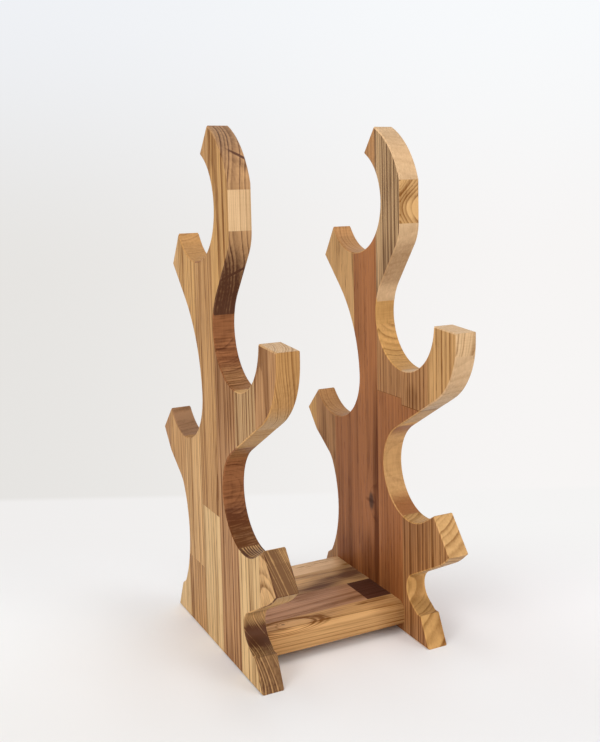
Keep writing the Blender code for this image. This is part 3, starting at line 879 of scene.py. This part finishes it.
def glue_middles(group, axis):
    """The middle of each glue line across an axis, found between staves of one panel or of the shelf."""
    boxes = [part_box(name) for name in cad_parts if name.startswith(group)]
    middles = set()
    for _, high in boxes:
        for low, _ in boxes:
            if abs(low[axis] - high[axis] - GLUE_LINE) < SAME_PLACE:
                middles.add(round((low[axis] + high[axis]) / 2.0, PLACE_DIGITS))
    return sorted(middles)


def slide_to(vertex, axis, target):
    """Slide a vertex into the target plane, along the edge that runs off its joint most squarely."""
    best = Vector((0.0, 0.0, 0.0))
    best[axis] = 1.0
    squareness = LEAST_SQUARE
    for edge in vertex.link_edges:
        run = (edge.other_vert(vertex).co - vertex.co).normalized()
        if abs(run[axis]) > squareness:
            best = run
            squareness = abs(run[axis])
    vertex.co += best * ((target - vertex.co[axis]) / best[axis])


def close_joints(form, axis, middles):
    """Bring the staves' faces along each glue line together, but for a hair."""
    moves = []
    for vertex in form.verts:
        for middle in middles:
            off = vertex.co[axis] - middle
            if abs(abs(off) - GLUE_LINE / 2.0) < SAME_PLACE:
                moves.append((vertex, middle + copysign(GLUE_LEFT, off)))
    for vertex, target in moves:
        slide_to(vertex, axis, target)


def seat_shelf(form, inner_face):
    """Bring the shelf's ends up to the panels, but for a hair."""
    for vertex in form.verts:
        if abs(abs(vertex.co.x) - inner_face) < SEAT_REACH:
            vertex.co.x = copysign(inner_face - GLUE_LEFT, vertex.co.x)


def on_joint(edge, planes):
    """Whether an edge lies in the plane of a joint, so that its arris isn't rounded."""
    for axis, places in planes:
        for place in places:
            if all(abs(vertex.co[axis] - place) < GLUE_REACH for vertex in edge.verts):
                return True
    return False


def is_arris(edge, planes):
    """Whether an edge is an outer corner of the wood that sanding has rounded."""
    if len(edge.link_faces) != 2 or not edge.is_convex:
        return False
    if edge.calc_face_angle() < ARRIS_LEAST_ANGLE or on_joint(edge, planes):
        return False
    facings = sorted(abs(face.normal.x) for face in edge.link_faces)
    bore_rim = facings[0] < BORE_WALL_FACING and facings[1] > BORED_FACE_FACING
    return not bore_rim


def cut_sliver(form, node):
    """Mark off the sliver of another stave that is left on a flat front, for its own wood."""
    _, lowest, highest = SLIVERS[node]
    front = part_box(node)[0].y + RIM
    for height in (lowest, highest):
        faces = [face for face in form.faces if all(vertex.co.y < front for vertex in face.verts)]
        edges = {edge for face in faces for edge in face.edges}
        corners = {vertex for face in faces for vertex in face.verts}
        bmesh.ops.bisect_plane(
            form, geom=[*corners, *edges, *faces], plane_co=(0.0, 0.0, height), plane_no=ALONG_Z
        )
    for face in form.faces:
        middle = face.calc_center_median()
        if middle.y < front and lowest < middle.z < highest:
            face.material_index = SLIVER_SLOT


def stave_copy(node):
    """A copy of a stave's mesh in its own wood, in edit mode, with its loose triangles merged."""
    piece = bpy.data.objects.new(node + "_oiled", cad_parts[node].data.copy())
    bpy.context.scene.collection.objects.link(piece)
    piece.data.materials.clear()
    piece.data.materials.append(stave_material(node, LOOKS[node], node + "_wood"))
    select_alone(piece)
    bpy.ops.object.mode_set(mode="EDIT")
    bpy.context.tool_settings.mesh_select_mode = (False, True, False)
    bpy.ops.mesh.select_all(action="SELECT")
    bpy.ops.mesh.remove_doubles(threshold=MERGE_DISTANCE)
    bpy.ops.mesh.dissolve_limited(angle_limit=FLAT_ANGLE)
    return piece


def round_arrises(piece, form, planes):
    """Round the outer corners of a piece in edit mode, and shade its curves smooth."""
    form.normal_update()
    bpy.ops.mesh.select_all(action="DESELECT")
    for edge in form.edges:
        edge.select_set(is_arris(edge, planes))
    bmesh.update_edit_mesh(piece.data)
    bpy.ops.mesh.bevel(offset=ARRIS_EASE, segments=ARRIS_STEPS, affect="EDGES", clamp_overlap=True)
    bpy.ops.object.mode_set(mode="OBJECT")
    bpy.ops.object.shade_smooth_by_angle(angle=SMOOTH_ANGLE)
    piece.modifiers.new("face_normals", "WEIGHTED_NORMAL").keep_sharp = True
    bpy.ops.object.modifier_apply(modifier="face_normals")


def dressed_stave(node, joints, inner_face):
    """A stave's own shape with its joints closed and its arrises rounded by sanding."""
    piece = stave_copy(node)
    form = bmesh.from_edit_mesh(piece.data)
    for axis, middles in joints:
        close_joints(form, axis, middles)
    bmesh.ops.dissolve_degenerate(form, dist=SHORTEST_EDGE, edges=form.edges)
    planes = list(joints)
    if node.startswith("shelf"):
        seat_shelf(form, inner_face)
        planes.append((X, (-inner_face, inner_face)))
    if node in SLIVERS:
        piece.data.materials.append(stave_material(node, SLIVERS[node][0], node + "_sliver_wood"))
        cut_sliver(form, node)
    round_arrises(piece, form, planes)
    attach(piece, "root")
    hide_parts(node)
    return piece


def staves():
    """Every stave of both panels and the shelf, with glue lines across Y and butt joints across the grain."""
    inner_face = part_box("right_stave_4_2")[0].x
    for group, grain_axis in (("left", Z), ("right", Z), ("shelf", X)):
        joints = [(axis, glue_middles(group, axis)) for axis in (Y, grain_axis)]
        for node in sorted(LOOKS):
            if node.startswith(group):
                piece = dressed_stave(node, joints, inner_face)


def dowels():
    """The hidden dowels keep their shape and are given bare wood."""
    turn = (0.0, QUARTER_TURN, 0.0)
    for seed, node in enumerate(sorted(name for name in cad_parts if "dowel" in name)):
        middle = middle_of(node)
        place = (middle.x, middle.y + DOWEL_PITH, middle.z)
        wood = oiled_wood(node + "_wood", DOWEL_LOOK, place, turn, ALONG_Z, ALONG_X, seed)
        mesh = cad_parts[node].data
        mesh.materials.clear()
        mesh.materials.append(wood)


def aside(shader, direction):
    """How far across the picture a direction points, from 0 at its left to 1 at its right."""
    return shader.ramp(shader.dot(direction, ACROSS), *SIDE_SPAN)


def backdrop_tone(shader, direction):
    """The pale backdrop's colour in a direction from the photographer's place."""
    share = aside(shader, direction)
    height = shader.dot(direction, ALONG_Z)
    low = shader.mix(share, LEFT_LOW, RIGHT_LOW)
    high = shader.mix(share, LEFT_HIGH, RIGHT_HIGH)
    return shader.mix(shader.ramp(height, *RISE_SPAN), low, high)


def seen_directly(shader):
    """Whether a surface is looked at by the camera, or in a gloss or through something clear."""
    path = shader.add("ShaderNodeLightPath").outputs
    seen = shader.math("MAXIMUM", path["Is Camera Ray"], path["Is Glossy Ray"])
    return shader.math("MAXIMUM", seen, path["Is Transmission Ray"])


def sky():
    """A plain world: even fill light, with the pale backdrop where it is seen."""
    world = bpy.data.worlds.new("studio")
    bpy.context.scene.world = world
    shader = Shader(world)
    direction = shader.add("ShaderNodeTexCoord").outputs["Generated"]
    fill = shader.add("ShaderNodeBackground", {"Color": WHITE, "Strength": SKY_STRENGTH})
    seen = shader.add("ShaderNodeBackground", {"Color": backdrop_tone(shader, direction)})
    share = seen_directly(shader)
    choice = shader.add("ShaderNodeMixShader", {0: share, 1: fill.outputs[0], 2: seen.outputs[0]})
    shader.add("ShaderNodeOutputWorld", {"Surface": choice.outputs[0]})


def floor_material():
    """Matt pale floor that keeps the rack's shadow, and rises into the backdrop behind it."""
    material = bpy.data.materials.new("studio_floor")
    shader = Shader(material)
    place = shader.add("ShaderNodeTexCoord").outputs["Object"]
    direction = shader.vector("NORMALIZE", shader.vector("SUBTRACT", place, CAMERA_PLACE))
    side = aside(shader, direction)
    back = shader.dot(place, HEADING)
    near = shader.mix(side, NEAR_LEFT, NEAR_RIGHT)
    far = shader.mix(side, FAR_LEFT, FAR_RIGHT)
    paint = shader.mix(shader.ramp(back, *PAINT_SPAN), near, far)
    matt = shader.add("ShaderNodeBsdfDiffuse", {"Color": paint})
    level = shader.mix(side, FLOOR_LEFT, FLOOR_RIGHT)
    seen = shader.mix(shader.ramp(back, *SWEEP_SPAN), level, backdrop_tone(shader, direction))
    sweep = shader.add("ShaderNodeEmission", {"Color": seen})
    away = shader.ramp(shader.length(place), *FAR_SPAN)
    faded = shader.math("MAXIMUM", shader.ramp(back, *FADE_SPAN), away)
    share = shader.math("MULTIPLY", faded, seen_directly(shader))
    surface = shader.add("ShaderNodeMixShader", {0: share, 1: matt.outputs[0], 2: sweep.outputs[0]})
    shader.add("ShaderNodeOutputMaterial", {"Surface": surface.outputs[0]})
    return material


def floor():
    """A wide pale floor under the rack."""
    bpy.ops.object.select_all(action="DESELECT")
    bpy.ops.mesh.primitive_plane_add(size=FLOOR_SIZE)
    plane = bpy.context.active_object
    plane.name = "studio_floor"
    plane.data.materials.append(floor_material())


def lamps():
    """Large soft lamps above and to both sides of the front."""
    for name, place, size, power in LAMPS:
        bpy.ops.object.light_add(type="AREA", location=place)
        lamp = bpy.context.active_object
        lamp.name = name
        lamp.data.shape = "DISK"
        lamp.data.size = size
        lamp.data.energy = power
        aim = Vector(LAMP_TARGET) - Vector(place)
        lamp.rotation_euler = aim.to_track_quat("-Z", "Y").to_euler()


def camera():
    """The camera at the photograph's place."""
    bpy.ops.object.camera_add(location=CAMERA_PLACE)
    maker = bpy.context.active_object
    maker.data.lens = CAMERA_LENS
    maker.data.shift_y = CAMERA_SHIFT
    heading = Matrix.Rotation(CAMERA_YAW, 4, "Z")
    tilt = Matrix.Rotation(QUARTER_TURN + CAMERA_PITCH, 4, "X")
    roll = Matrix.Rotation(CAMERA_ROLL, 4, "Z")
    maker.matrix_world = Matrix.Translation(CAMERA_PLACE) @ heading @ tilt @ roll
    bpy.context.scene.camera = maker


staves()
dowels()
sky()
floor()
lamps()
camera()
bpy.context.scene.view_settings.view_transform = "Standard"
